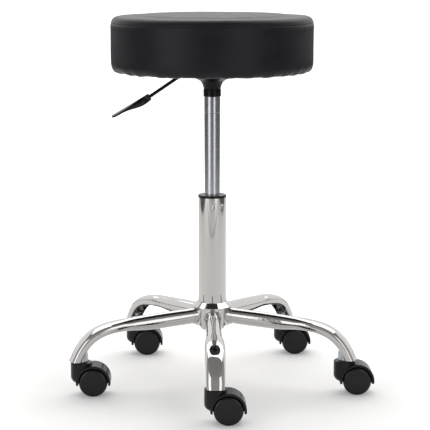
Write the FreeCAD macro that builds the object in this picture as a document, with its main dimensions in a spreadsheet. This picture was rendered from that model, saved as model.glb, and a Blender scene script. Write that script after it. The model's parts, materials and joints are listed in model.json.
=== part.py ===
import FreeCAD, Part
import math
import os
import re

import Sketcher

# Adjustable swivel stool: round padded seat, gas-lift column with a release lever,
# and a five-leg base on twin-wheel casters.
# Frame: origin on the column's axis at the floor, +Z up, leg 1 points along -Y,
# and every caster trails along +X. Millimetres throughout.

Vector = FreeCAD.Vector
X_AXIS = Vector(1, 0, 0)
Y_AXIS = Vector(0, 1, 0)
Z_AXIS = Vector(0, 0, 1)
TOLERANCE = 0.01

DRIVING_SIZES = [
    # how far a cutting tool reaches past the face it opens
    ("overshoot", 5),
    # five-leg base
    ("leg_count", 5), ("leg_reach", 244), ("leg_tip_height", 61), ("leg_wall", 1.8),
    ("leg_root_reach", 26.5), ("leg_root_height", 125.7), ("leg_root_diameter", 28),
    ("leg_slope", 3.6), ("leg_seat_clearance", 0.1), ("leg_squareness", 2.5),
    ("leg_bore_length", 92), ("leg_bore_taper", 26), ("leg_bore_point", 3), ("leg_steps", 25),
    ("channel_wall", 3.4), ("channel_first_step", 11), ("channel_narrowing", 0.45),
    ("channel_squareness", 3.5), ("channel_depth", 12),
    ("section_points", 28), ("crown_squareness", 2.4),
    ("socket_radius", 11.7), ("socket_bore", 5.6), ("socket_length", 14),
    ("hub_radius", 33.8), ("hub_bottom", 109.8), ("hub_top", 141.2),
    ("leg_collar_radius", 14.9), ("leg_collar_reach", 37.5), ("leg_collar_overlap", 2),
    ("cap_radius", 35.2), ("cap_top", 150.5), ("cap_rim", 1.2), ("cap_lip", 1.5),
    # outer column
    ("column_radius", 25), ("column_wall", 1.5), ("column_top", 340), ("column_bottom", 99),
    ("taper_top_radius", 22.6), ("taper_bottom_radius", 21), ("taper_top", 141.5),
    ("swage_height", 4), ("column_floor", 3.5), ("column_foot_round", 3), ("rod_hole", 4.4),
    ("dimple_pairs", 2), ("dimple_turn", 39), ("dimple_first", -86),
    ("dimple_radius", 8.5), ("dimple_depth", 1.2), ("dimple_height", 325.5),
    ("bush_flange_radius", 25.3), ("bush_flange", 4.3), ("bush_bottom", 264),
    ("bush_relief_radius", 19), ("bush_land", 14), ("bush_round", 1.6),
    # turning piston rod and its thrust bearing
    ("rod_radius", 5), ("rod_tip_radius", 4), ("rod_tip", 95), ("rod_top", 305),
    ("race_radius", 15), ("race_thickness", 2), ("ball_radius", 2.5), ("ball_circle", 10),
    ("ball_count", 12), ("bearing_gap", 0.05), ("bumper_length", 14), ("bumper_foot_radius", 14),
    ("bumper_tip_radius", 12), ("clip_radius", 8), ("clip_thickness", 1.1),
    ("clip_bottom", 97), ("clip_groove_radius", 3.2),
    ("piston_length", 14), ("seal_width", 4), ("seal_depth", 1.6),
    # pressure tube
    ("tube_radius", 14), ("tube_wall", 1.5), ("tube_bottom", 269), ("tube_top", 546),
    ("tube_tip_radius", 13.3), ("tube_line_height", 490), ("tube_line_depth", 0.2),
    ("tube_line_width", 1), ("tube_line_slope", 0.3), ("gland_length", 14), ("gland_inset", 2),
    ("valve_length", 41), ("pin_radius", 2.5), ("pin_top", 550.2), ("pin_bottom", 520),
    ("pin_round", 1), ("running_clearance", 0.05),
    # mechanism under the seat
    ("collar_bottom", 519), ("collar_top", 531), ("collar_slope", 0.8), ("collar_round", 0.9),
    ("taper_socket_radius", 15.5), ("taper_socket_neck", 15), ("taper_socket_top", 548),
    ("plate_radius", 80), ("plate_top", 563.2), ("plate_thickness", 2.5), ("dish_foot", 533),
    ("dish_inside_foot", 542), ("flange_inner_radius", 58), ("flange_inside_radius", 57.2),
    ("bolt_spacing", 100), ("bolt_radius", 3), ("bolt_hole", 3.3), ("bolt_clearance", 0.1),
    ("bolt_head_width", 10), ("bolt_head_height", 4), ("bolt_length", 15),
    ("washer_radius", 6), ("washer_thickness", 1),
    ("lever_slot_inner", 20), ("lever_slot_outer", 62), ("lever_slot_width", 9),
    ("pivot_reach", 30), ("pivot_height", 553.5), ("pivot_radius", 1.5), ("pivot_length", 15),
    ("ear_gap", 9), ("ear_thickness", 2), ("ear_length", 16), ("ear_top", 560.5),
    ("ear_bottom", 546), ("lever_radius", 3), ("lever_inner_end", 4), ("lever_bend", 58.3),
    ("lever_droop", 34), ("lever_bend_radius", 12), ("lever_drop_length", 90),
    ("handle_start", 62), ("handle_droop", 31), ("handle_squareness", 3.6),
    # seat
    ("seat_radius", 177.5), ("seat_top", 661), ("seat_bottom", 563.8), ("seam_height", 647.4),
    ("vinyl", 1.2), ("top_round", 13), ("bottom_round", 14), ("wrap_inner_radius", 138),
    ("board_radius", 162), ("board_bottom", 565), ("board_thickness", 12),
    ("foam_lip", 565.3), ("foam_lip_round", 12.5), ("fabric_gap", 0.2),
    ("dust_cover_radius", 152), ("dust_cover_thickness", 0.6),
    ("nut_radius", 9.5), ("nut_flange", 1.2), ("nut_barrel_radius", 4.2), ("nut_length", 10),
    ("staple_count", 32), ("staple_circle", 146), ("staple_crown", 11), ("staple_wire", 0.5),
    ("staple_leg", 7),
    # casters
    ("caster_trail", 21), ("wheel_radius", 25), ("wheel_inner_face", 6), ("wheel_outer_face", 22),
    ("wheel_round", 5), ("wheel_web", 3.6), ("wheel_rim", 3.5), ("wheel_hub_radius", 7.5),
    ("axle_radius", 3), ("axle_half_length", 18.3), ("axle_tip_gap", 0.4),
    ("stem_radius", 5.5), ("stem_shank_radius", 3.5), ("stem_bottom", 30), ("stem_top", 79.5),
    ("stem_shoulder_radius", 8), ("stem_neck_radius", 4.4), ("stem_neck_height", 4.5),
    ("stem_neck_slope", 1.5), ("stem_tip_round", 3), ("stem_shoulder_bottom", 59.3),
    ("stem_bore_bottom", 29),
    ("grip_bottom", 64), ("grip_length", 8), ("grip_inner_radius", 4.6), ("grip_slit", 2),
    ("housing_radius", 19), ("housing_top", 59), ("housing_bottom", 21.5), ("housing_round", 12),
    ("housing_top_round", 2), ("hood_radius", 30.3), ("hood_half_width", 20.5), ("hood_round", 1.3),
    ("well_radius", 26.4), ("well_face", 5.5), ("hood_tip_height", 20.5), ("web_radius", 11),
]

# Each leg, from round tube to open channel: reach from the column's axis, height of its
# crown line, width, depth, and how far the underside is pushed in.
LEG_STATIONS = [
    (27.8, 139.7, 28, 28, -10), (63, 137.5, 28, 28, -8.8), (100, 135.2, 28, 28, -7),
    (126, 133.2, 28, 27, -5), (152, 131.1, 29, 23.6, -1.5),
    (178, 128, 32.4, 20, 7), (200, 123.9, 34, 18.6, 13), (221, 115.8, 34, 18, 14.6),
    (238, 103.6, 33.4, 17.8, 14.4), (252, 86.5, 32, 17.4, 14), (261, 70, 30.7, 17, 13.6),
    (266.5, 56, 30.2, 17, 13.6),
]

# The lever's paddle: distance from its square end, width and thickness.
HANDLE_STATIONS = [
    (0, 15, 12), (26, 18, 12.4), (40, 27, 8.6), (54, 32, 6), (70, 32, 5), (75, 27, 3.6),
]

# The pressed dish of the seat plate, as radius and height: outward along its underside,
# then inward along its upper face.
DISH_UNDERSIDE = [(17.4, 540.5), (20.5, 545.8), (27, 549.3), (36, 552.8)]
DISH_INSIDE = [(35.2, 555.4), (26, 551.9), (19, 548.4)]

STATIONS = [
    ("leg", ("reach", "crown", "width", "depth", "hollow"), LEG_STATIONS),
    ("handle", ("along", "width", "thickness"), HANDLE_STATIONS),
    ("dish_underside", ("radius", "height"), DISH_UNDERSIDE),
    ("dish_inside", ("radius", "height"), DISH_INSIDE),
]

doc = FreeCAD.newDocument("SwivelStool")
sheet = doc.addObject("Spreadsheet::Sheet", "Sizes")
ALIASES = set()


def enter_size(alias, value):
    """Write one driving size into the next row of the sheet."""
    row = len(ALIASES) + 1
    sheet.set("A%d" % row, alias.replace("_", " "))
    sheet.set("B%d" % row, str(value))
    sheet.setAlias("B%d" % row, alias)
    ALIASES.add(alias)


for size_name, size_value in DRIVING_SIZES:
    enter_size(size_name, size_value)
for family, names, rows in STATIONS:
    for index, row in enumerate(rows):
        for name, value in zip(names, row):
            enter_size("%s_%s_%d" % (family, name, index), value)
doc.recompute()


def bound(formula):
    """An expression whose size names point at the sheet."""
    return re.sub(r"[a-z][a-z_0-9]*", lambda word: bind_word(word.group(0)), str(formula))


def bind_word(word):
    return "Sizes." + word if word in ALIASES else word


def size(formula):
    """The present value of a formula of sheet sizes."""
    return float(sheet.evalExpression(bound(formula)))


def origin_plane(body, role):
    return [item for item in body.Origin.OriginFeatures if item.Role == role][0]


def new_sketch(body, name, role):
    """A sketch on one of the body's own origin planes."""
    sketch = body.newObject("Sketcher::SketchObject", name)
    sketch.AttachmentSupport = [(origin_plane(body, role), "")]
    sketch.MapMode = "FlatFace"
    return sketch


def fix_point(sketch, edge, end, across, up):
    """Tie one end of a sketch edge to the origin by two bound distances."""
    for kind, axis, formula in (("DistanceX", -2, across), ("DistanceY", -1, up)):
        value = size(formula)
        if abs(value) < TOLERANCE:
            sketch.addConstraint(Sketcher.Constraint("PointOnObject", edge, end, axis))
        else:
            number = sketch.addConstraint(Sketcher.Constraint(kind, -1, 1, edge, end, value))
            sketch.setExpression("Constraints[%d]" % number, bound(formula))


def draw_polygon(sketch, corners):
    """Closed polygon whose corners are pairs of size formulas."""
    points = [Vector(size(across), size(up), 0) for across, up in corners]
    for first, second in zip(points, points[1:] + points[:1]):
        sketch.addGeometry(Part.LineSegment(first, second), False)
    for edge in range(len(points)):
        following = (edge + 1) % len(points)
        sketch.addConstraint(Sketcher.Constraint("Coincident", edge, 2, following, 1))
    for edge, (across, up) in enumerate(corners):
        fix_point(sketch, edge, 1, across, up)


def turned(label, outline, base=Vector(), rotation=FreeCAD.Rotation()):
    """Body turned about its own Z axis from an outline of (radius, height) formulas."""
    body = doc.addObject("PartDesign::Body", label)
    body.Label = label
    sketch = new_sketch(body, label + "_outline", "XZ_Plane")
    draw_polygon(sketch, outline)
    revolution = body.newObject("PartDesign::Revolution", label + "_turning")
    revolution.Profile = sketch
    revolution.ReferenceAxis = (sketch, ["V_Axis"])
    revolution.Angle = 360
    body.Placement = FreeCAD.Placement(base, rotation)
    doc.recompute()
    return body


def round_rims(body, radius, rims):
    """Fillet the circular edges found at the given (radius, height) formulas."""
    tip = body.Tip
    wanted = [(size(across), size(up)) for across, up in rims]
    names = []
    for number, edge in enumerate(tip.Shape.Edges, start=1):
        curve = edge.Curve
        if not isinstance(curve, Part.Circle):
            continue
        for across, up in wanted:
            if abs(curve.Radius - across) < TOLERANCE and abs(curve.Center.z - up) < TOLERANCE:
                names.append("Edge%d" % number)
    fillet = body.newObject("PartDesign::Fillet", body.Label + "_rounding")
    fillet.Base = (tip, names)
    fillet.setExpression("Radius", bound(radius))
    doc.recompute()
    return body


def rod_between(label, radius, length, start, direction=Z_AXIS):
    """Part cylinder with bound radius and length, from a start point along a direction."""
    cylinder = doc.addObject("Part::Cylinder", label)
    cylinder.setExpression("Radius", bound(radius))
    cylinder.setExpression("Height", bound(length))
    cylinder.Placement = FreeCAD.Placement(start, FreeCAD.Rotation(Z_AXIS, direction))
    return cylinder


def block(label, length, width, height, corner):
    """Part box with bound sides, from its lowest corner."""
    box = doc.addObject("Part::Box", label)
    box.setExpression("Length", bound(length))
    box.setExpression("Width", bound(width))
    box.setExpression("Height", bound(height))
    box.Placement = FreeCAD.Placement(corner, FreeCAD.Rotation())
    return box


def cut(label, base, tools):
    """Base minus one or more tools."""
    result = doc.addObject("Part::Cut", label)
    result.Base = base
    result.Tool = tools[0] if len(tools) == 1 else fuse(label + "_tools", tools)
    result.Label = label
    return result


def fuse(label, members):
    result = doc.addObject("Part::MultiFuse", label)
    result.Shapes = members
    result.Label = label
    return result


def group(label, members):
    """Identical loose pieces that share one sub-part."""
    result = doc.addObject("Part::Compound", label)
    result.Links = members
    result.Label = label
    return result


def shaped(label, shape, placement=FreeCAD.Placement()):
    """Sub-part whose shape comes from Part's own functions."""
    feature = doc.addObject("Part::Feature", label)
    feature.Shape = shape
    feature.Placement = placement
    feature.Label = label
    return feature


def polar(radius, angle, height=0.0):
    """Point at a radius and an angle in degrees about the column's axis."""
    turn = math.radians(angle)
    return Vector(radius * math.cos(turn), radius * math.sin(turn), height)


LEG_ANGLES = [-90 + 360 * leg / size("leg_count") for leg in range(int(size("leg_count")))]
STEM_FEET = [polar(size("leg_reach"), angle) for angle in LEG_ANGLES]


# ---------------------------------------------------------------- five-leg base

def rounded_section(origin, across, up, width, top, bottom, squareness):
    """Closed smooth wire: an oval between two levels, squared off at its lower half."""
    points = []
    count = int(size("section_points"))
    upper_squareness = min(squareness, size("crown_squareness"))
    middle = (top + bottom) / 2
    for step in range(count):
        angle = 2 * math.pi * step / count
        power = 2 / (squareness if math.sin(angle) < 0 else upper_squareness)
        side = math.copysign(abs(math.cos(angle)) ** power, math.cos(angle)) * width / 2
        rise = math.copysign(abs(math.sin(angle)) ** power, math.sin(angle)) * (top - bottom) / 2
        points.append(origin + across * side + up * (middle + rise))
    curve = Part.BSplineCurve()
    curve.interpolate(Points=points, PeriodicFlag=True, Parameters=list(range(count + 1)))
    return Part.Wire([curve.toShape()])


def smooth_stations(rows):
    """Curve through rows of three values, spaced by the crown line's own length."""
    crowns = [Vector(row[0], 0, row[1]) for row in rows]
    lengths = [0]
    for first, second in zip(crowns, crowns[1:]):
        lengths.append(lengths[-1] + first.distanceToPoint(second))
    crown_line = Part.BSplineCurve()
    crown_line.interpolate(Points=crowns, Parameters=lengths)
    profile = Part.BSplineCurve()
    profile.interpolate(Points=[Vector(*row[2:]) for row in rows], Parameters=lengths)
    return crown_line, profile, lengths[-1]


def leg_shape():
    """One leg along +X: a round tube whose outer half is pressed into an open channel."""
    names = ("reach", "crown", "width", "depth", "hollow")
    rows = [[size("leg_%s_%d" % (name, station)) for name in names]
            for station in range(len(LEG_STATIONS))]
    crown_line, profile, length = smooth_stations(rows)
    steps = int(size("leg_steps"))
    outer = []
    hollow = []
    for step in range(steps + 1):
        place = length * step / steps
        crown = crown_line.value(place)
        ahead = crown_line.tangent(place)[0]
        up = Vector(-ahead.z, 0, ahead.x)
        width, depth, pressed = profile.value(place)
        pressing = min(1, max(0, pressed / (depth - size("channel_wall"))))
        squareness = 2 + size("leg_squareness") * pressing
        outer.append(rounded_section(crown, Y_AXIS, up, width, 0, -depth, squareness))
        narrowing = 1 - size("channel_narrowing") * (1 - pressing)
        inner_width = (width - 2 * size("channel_wall")) * narrowing
        below = -depth - size("channel_depth")
        hollow.append(rounded_section(crown, Y_AXIS, up, inner_width, pressed - depth, below,
                                      size("channel_squareness")))
    shell = Part.makeLoft(outer, True, False, False, 3)
    channel = Part.makeLoft(hollow[int(size("channel_first_step")):], True, False, False, 3)

    slope = math.radians(size("leg_slope"))
    along = Vector(math.cos(slope), 0, -math.sin(slope))
    root = Vector(size("leg_root_reach"), 0, size("leg_root_height"))
    bore_radius = size("leg_root_diameter / 2 - leg_wall")
    bore = Part.makeCylinder(bore_radius, size("leg_bore_length + overshoot"),
                             root - along * size("overshoot"), along)
    bore_end = root + along * size("leg_bore_length")
    point = Part.makeCone(bore_radius, size("leg_bore_point"), size("leg_bore_taper"), bore_end, along)
    span = 2 * size("leg_reach")
    below_tip = Part.makeBox(span, span, size("leg_tip_height"), Vector(0, -span / 2, 0))
    leg = shell.cut(channel).cut(bore.fuse(point)).cut(below_tip)
    return leg.Solids[0]


def taper_radius_at(height):
    """Formula for the radius of the column's tapered foot at a height."""
    return ("taper_bottom_radius + (taper_top_radius - taper_bottom_radius) * (%s - column_bottom)"
            " / (taper_top - column_bottom)" % height)


def build_base():
    leg = leg_shape()
    legs = []
    for number, angle in enumerate(LEG_ANGLES, start=1):
        turn = FreeCAD.Placement(Vector(), FreeCAD.Rotation(Z_AXIS, angle))
        legs.append(shaped("leg_%d" % number, leg, turn))

    slope = math.radians(size("leg_slope"))
    ring = turned("hub_ring", [
        (taper_radius_at("hub_bottom"), "hub_bottom"), ("hub_radius", "hub_bottom"),
        ("hub_radius", "hub_top"), (taper_radius_at("hub_top"), "hub_top")])
    collars = []
    bores = []
    for number, angle in enumerate(LEG_ANGLES, start=1):
        outward = polar(math.cos(slope), angle, -math.sin(slope))
        root = polar(size("leg_root_reach"), angle, size("leg_root_height"))
        collars.append(rod_between(
            "leg_collar_%d" % number, "leg_collar_radius",
            "leg_collar_reach - leg_root_reach + leg_collar_overlap",
            root - outward * size("leg_collar_overlap"), outward))
        bores.append(rod_between(
            "leg_seat_%d" % number, "leg_root_diameter / 2 + leg_seat_clearance",
            "leg_collar_reach - leg_root_reach + overshoot", root, outward))
    hub = cut("hub_core", fuse("hub_blank", [ring] + collars), bores)

    cap = turned("hub_cap", [
        ("column_radius + running_clearance", "hub_top"), ("cap_radius", "hub_top"),
        ("cap_radius", "hub_top + cap_rim"), ("column_radius + cap_lip", "cap_top"),
        ("column_radius + running_clearance", "cap_top")])

    sockets = []
    stems = []
    rings = []
    for number, foot in enumerate(STEM_FEET, start=1):
        sockets.append(turned("stem_socket_%d" % number, [
            ("socket_bore", "leg_tip_height"), ("socket_radius", "leg_tip_height"),
            ("socket_radius", "leg_tip_height + socket_length"),
            ("socket_bore", "leg_tip_height + socket_length")], foot))
        stem = turned("stem_%d" % number, [
            (0, "stem_bottom"), ("stem_shank_radius", "stem_bottom"),
            ("stem_shank_radius", "stem_shoulder_bottom"),
            ("stem_shoulder_radius", "stem_shoulder_bottom"),
            ("stem_shoulder_radius", "leg_tip_height"), ("stem_radius", "leg_tip_height"),
            ("stem_radius", "grip_bottom"), ("grip_inner_radius", "grip_bottom"),
            ("grip_inner_radius", "grip_bottom + grip_length"),
            ("stem_radius", "grip_bottom + grip_length"),
            ("stem_radius", "stem_top - stem_neck_height - stem_neck_slope"),
            ("stem_neck_radius", "stem_top - stem_neck_height"),
            ("stem_neck_radius", "stem_top"), (0, "stem_top")], foot)
        stems.append(round_rims(stem, "stem_tip_round", [("stem_neck_radius", "stem_top")]))
        sleeve = turned("grip_sleeve_%d" % number, [
            ("grip_inner_radius", "grip_bottom"), ("socket_bore", "grip_bottom"),
            ("socket_bore", "grip_bottom + grip_length"),
            ("grip_inner_radius", "grip_bottom + grip_length")], foot)
        slit = block("grip_slit_%d" % number, "stem_radius * 2", "grip_slit", "grip_length",
                     foot + Vector(0, -size("grip_slit") / 2, size("grip_bottom")))
        rings.append(cut("grip_ring_%d" % number, sleeve, [slit]))
    return legs + [hub, cap, group("stem_sockets", sockets), group("caster_stems", stems),
                   group("grip_rings", rings)]


# ---------------------------------------------------------------- outer column

def build_column():
    taper_inner = "taper_top_radius - column_wall"
    swage_top = "taper_top + swage_height"
    floor_top = "column_bottom + column_floor"
    inside = "column_radius - column_wall"
    blank = turned("column_blank", [
        ("rod_hole", "column_bottom"), ("taper_bottom_radius", "column_bottom"),
        ("taper_top_radius", "taper_top"), ("column_radius", swage_top),
        ("column_radius", "column_top"), (inside, "column_top"), (inside, swage_top),
        (taper_inner, "taper_top"), ("taper_bottom_radius - column_wall", floor_top),
        ("rod_hole", floor_top)])
    round_rims(blank, "column_foot_round", [("taper_bottom_radius", "column_bottom")])
    dimples = []
    pair_turn = 360 / size("dimple_pairs")
    for number in range(2 * int(size("dimple_pairs"))):
        angle = size("dimple_first") + pair_turn * (number // 2) + size("dimple_turn") * (number % 2)
        centre = polar(size("column_radius + dimple_radius - dimple_depth"), angle,
                       size("dimple_height"))
        dimple = doc.addObject("Part::Sphere", "dimple_%d" % number)
        dimple.setExpression("Radius", bound("dimple_radius"))
        dimple.Placement = FreeCAD.Placement(centre, FreeCAD.Rotation())
        dimples.append(dimple)
    column = cut("column_tube", blank, dimples)

    slide = "tube_radius + running_clearance"
    bush = turned("guide_bush", [
        (slide, "bush_bottom"), (inside, "bush_bottom"), (inside, "bush_bottom + bush_land"),
        ("bush_relief_radius", "bush_bottom + bush_land"),
        ("bush_relief_radius", "column_top - bush_land"),
        (inside, "column_top - bush_land"), (inside, "column_top"),
        ("bush_flange_radius", "column_top"), ("bush_flange_radius", "column_top + bush_flange"),
        (slide, "column_top + bush_flange")])
    round_rims(bush, "bush_round", [("bush_flange_radius", "column_top + bush_flange")])

    washer_top = floor_top + " + race_thickness"
    washer = turned("lower_washer", [
        ("rod_hole", floor_top), ("race_radius", floor_top), ("race_radius", washer_top),
        ("rod_hole", washer_top)])
    return [column, bush, washer]


# ---------------------------------------------------------------- turning piston rod

def build_piston_rod():
    race = "column_bottom + column_floor + race_thickness"
    balls_bottom = race + " + bearing_gap"
    upper_race = balls_bottom + " + 2 * ball_radius"
    shoulder = upper_race + " + race_thickness"
    piston_foot = "rod_top - piston_length"
    bore = "tube_radius - tube_wall"

    rod = turned("piston_rod", [
        (0, "rod_tip"), ("rod_tip_radius", "rod_tip"), ("rod_tip_radius", "clip_bottom"),
        ("clip_groove_radius", "clip_bottom"), ("clip_groove_radius", "clip_bottom + clip_thickness"),
        ("rod_tip_radius", "clip_bottom + clip_thickness"), ("rod_tip_radius", shoulder),
        ("rod_radius", shoulder), ("rod_radius", piston_foot), ("rod_tip_radius", piston_foot),
        ("rod_tip_radius", "rod_top"), (0, "rod_top")])
    clip = turned("retaining_clip", [
        ("clip_groove_radius", "clip_bottom"), ("clip_radius", "clip_bottom"),
        ("clip_radius", "clip_bottom + clip_thickness"),
        ("clip_groove_radius", "clip_bottom + clip_thickness")])
    washer = turned("upper_washer", [
        ("rod_tip_radius", upper_race), ("race_radius", upper_race), ("race_radius", shoulder),
        ("rod_tip_radius", shoulder)])
    balls = []
    ball_height = size(balls_bottom + " + ball_radius")
    for number in range(int(size("ball_count"))):
        ball = doc.addObject("Part::Sphere", "ball_%d" % number)
        ball.setExpression("Radius", bound("ball_radius"))
        centre = polar(size("ball_circle"), 360 * number / size("ball_count"), ball_height)
        ball.Placement = FreeCAD.Placement(centre, FreeCAD.Rotation())
        balls.append(ball)
    bumper = turned("bumper", [
        ("rod_radius", shoulder), ("bumper_foot_radius", shoulder),
        ("bumper_tip_radius", shoulder + " + bumper_length"),
        ("rod_radius", shoulder + " + bumper_length")])
    groove_foot = piston_foot + " + (piston_length - seal_width) / 2"
    piston = turned("piston", [
        ("rod_tip_radius", piston_foot), (bore + " - running_clearance", piston_foot),
        (bore + " - running_clearance", groove_foot), (bore + " - seal_depth", groove_foot),
        (bore + " - seal_depth", groove_foot + " + seal_width"),
        (bore + " - running_clearance", groove_foot + " + seal_width"),
        (bore + " - running_clearance", "rod_top"), ("rod_tip_radius", "rod_top")])
    seal = turned("piston_seal", [
        (bore + " - seal_depth", groove_foot), (bore + " - running_clearance", groove_foot),
        (bore + " - running_clearance", groove_foot + " + seal_width"),
        (bore + " - seal_depth", groove_foot + " + seal_width")])
    return [rod, clip, washer, group("thrust_balls", balls), bumper, piston, seal]


# ---------------------------------------------------------------- pressure tube

def build_pressure_tube():
    bore = "tube_radius - tube_wall"
    line_radius = "tube_radius - tube_line_depth"
    line_top = "tube_line_height + tube_line_width"
    tube = turned("pressure_tube", [
        (bore, "tube_bottom"), ("tube_radius", "tube_bottom"), ("tube_radius", "tube_line_height"),
        (line_radius, "tube_line_height + tube_line_slope"),
        (line_radius, line_top + " - tube_line_slope"), ("tube_radius", line_top),
        ("tube_radius", "collar_bottom"), ("tube_tip_radius", "tube_top"), (bore, "tube_top")])
    rod_slide = "rod_radius + running_clearance"
    gland_foot = "tube_bottom + gland_inset"
    gland = turned("end_gland", [
        (rod_slide, gland_foot), (bore, gland_foot), (bore, gland_foot + " + gland_length"),
        (rod_slide, gland_foot + " + gland_length")])
    pin_slide = "pin_radius + running_clearance"
    valve = turned("valve_body", [
        (pin_slide, "tube_top - valve_length"), (bore, "tube_top - valve_length"), (bore, "tube_top"),
        (pin_slide, "tube_top")])
    pin = turned("valve_pin", [
        (0, "pin_bottom"), ("pin_radius", "pin_bottom"), ("pin_radius", "pin_top"), (0, "pin_top")])
    round_rims(pin, "pin_round", [("pin_radius", "pin_top")])
    return [tube, gland, valve, pin]


# ---------------------------------------------------------------- mechanism under the seat

def bolt_places():
    half = size("bolt_spacing") / 2
    return [Vector(x, y, 0) for x in (-half, half) for y in (-half, half)]


def build_mechanism():
    socket = turned("taper_socket", [
        ("tube_radius", "collar_bottom"), ("taper_socket_radius", "collar_bottom"),
        ("taper_socket_radius", "collar_top"), ("taper_socket_neck", "collar_top + collar_slope"),
        ("taper_socket_neck", "taper_socket_top"), ("tube_tip_radius", "taper_socket_top"),
        ("tube_tip_radius", "tube_top")])
    round_rims(socket, "collar_round", [("taper_socket_radius", "collar_bottom")])

    flange_foot = "plate_top - plate_thickness"
    underside = [("dish_underside_radius_%d" % station, "dish_underside_height_%d" % station)
                 for station in range(len(DISH_UNDERSIDE))]
    inside = [("flange_inside_radius", "plate_top")]
    inside += [("dish_inside_radius_%d" % station, "dish_inside_height_%d" % station)
               for station in range(len(DISH_INSIDE))]
    flange = [("flange_inner_radius", flange_foot), ("plate_radius", flange_foot),
              ("plate_radius", "plate_top")]
    dish = turned("plate_dish", [("taper_socket_neck", "dish_foot")] + underside + flange + inside
                  + [("taper_socket_neck", "dish_inside_foot")])
    slot = block("lever_slot", "lever_slot_outer - lever_slot_inner", "lever_slot_width",
                 "plate_top - collar_top + overshoot",
                 Vector(-size("lever_slot_outer"), -size("lever_slot_width") / 2, size("collar_top")))
    hole_foot = Vector(0, 0, size("plate_top - plate_thickness - overshoot"))
    holes = [rod_between("plate_hole_%d" % number, "bolt_hole", "plate_thickness + 2 * overshoot",
                         place + hole_foot) for number, place in enumerate(bolt_places())]
    pivot_start = Vector(-size("pivot_reach"), -size("pivot_length / 2"), size("pivot_height"))
    pivot_groove = rod_between("pivot_groove", "pivot_radius", "pivot_length", pivot_start, Y_AXIS)
    plate = cut("seat_plate", dish, [slot, pivot_groove] + holes)

    ears_start = Vector(-size("pivot_reach + ear_length / 2"), -size("ear_gap / 2 + ear_thickness"),
                        size("ear_bottom"))
    ears = block("bracket_blank", "ear_length", "ear_gap + 2 * ear_thickness",
                 "ear_top - ear_bottom", ears_start)
    gap = block("bracket_gap", "ear_length", "ear_gap", "ear_top - ear_thickness - ear_bottom",
                ears_start + Vector(0, size("ear_thickness"), 0))
    pivot_bore = rod_between("bracket_bore", "pivot_radius", "pivot_length", pivot_start, Y_AXIS)
    trim_foot = "ear_bottom - overshoot"
    under_plate = turned("bracket_trim", [
        (0, trim_foot), ("plate_radius", trim_foot), ("plate_radius", "plate_top")] + inside
        + [(0, "dish_inside_foot")])
    bracket = cut("lever_bracket", ears, [gap, pivot_bore, under_plate])
    pin = rod_between("lever_pivot_pin", "pivot_radius", "pivot_length", pivot_start, Y_AXIS)

    bolts = []
    washers = []
    nuts = []
    head_top = size("plate_top - plate_thickness - washer_thickness")
    for number, place in enumerate(bolt_places()):
        head = doc.addObject("Part::Prism", "bolt_head_%d" % number)
        head.Polygon = 6
        head.setExpression("Circumradius", bound("bolt_head_width / sqrt(3)"))
        head.setExpression("Height", bound("bolt_head_height"))
        head.Placement.Base = place + Vector(0, 0, head_top - size("bolt_head_height"))
        shank = rod_between("bolt_shank_%d" % number, "bolt_radius", "bolt_length",
                            place + Vector(0, 0, head_top))
        bolts.append(fuse("plate_bolt_%d" % number, [head, shank]))
        washer = rod_between("washer_disc_%d" % number, "washer_radius", "washer_thickness",
                             place + Vector(0, 0, head_top))
        eye = rod_between("washer_eye_%d" % number, "bolt_radius + bolt_clearance", "washer_thickness",
                          place + Vector(0, 0, head_top))
        washers.append(cut("plate_washer_%d" % number, washer, [eye]))
        board_top = size("board_bottom + board_thickness")
        flange = rod_between("nut_flange_%d" % number, "nut_radius", "nut_flange",
                             place + Vector(0, 0, board_top - size("nut_flange")))
        barrel = rod_between("nut_barrel_%d" % number, "nut_barrel_radius", "nut_length",
                             place + Vector(0, 0, board_top - size("nut_length")))
        thread = rod_between("nut_thread_%d" % number, "bolt_radius + running_clearance", "nut_length",
                             place + Vector(0, 0, board_top - size("nut_length")))
        nut = fuse("nut_blank_%d" % number, [flange, barrel])
        nuts.append(cut("tee_nut_%d" % number, nut, [thread]))
    return [socket, plate, bracket, pin, group("plate_bolts", bolts),
            group("plate_washers", washers), group("tee_nuts", nuts)]


# ---------------------------------------------------------------- release lever

def lever_shape():
    """Bent rod in the XZ plane: level over the valve pin, then drooping to the handle."""
    droop = math.radians(size("lever_droop"))
    drop = Vector(-math.cos(droop), 0, -math.sin(droop))
    inner_end = Vector(size("lever_inner_end"), 0, size("pivot_height"))
    bend = Vector(-size("lever_bend"), 0, size("pivot_height"))
    outer_end = bend + drop * size("lever_drop_length")
    reach = size("lever_bend_radius") * math.tan(droop / 2)
    bend_start = bend + X_AXIS * reach
    bend_end = bend + drop * reach
    to_middle = (drop - Vector(-1, 0, 0)).normalize()
    corner_gap = size("lever_bend_radius") * (1 / math.cos(droop / 2) - 1)
    bend_middle = bend + to_middle * corner_gap
    path = Part.Wire([Part.LineSegment(inner_end, bend_start).toShape(),
                      Part.Arc(bend_start, bend_middle, bend_end).toShape(),
                      Part.LineSegment(bend_end, outer_end).toShape()])
    circle = Part.Wire([Part.Circle(inner_end, X_AXIS, size("lever_radius")).toShape()])
    return path.makePipeShell([circle], True, True), bend, drop


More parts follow.
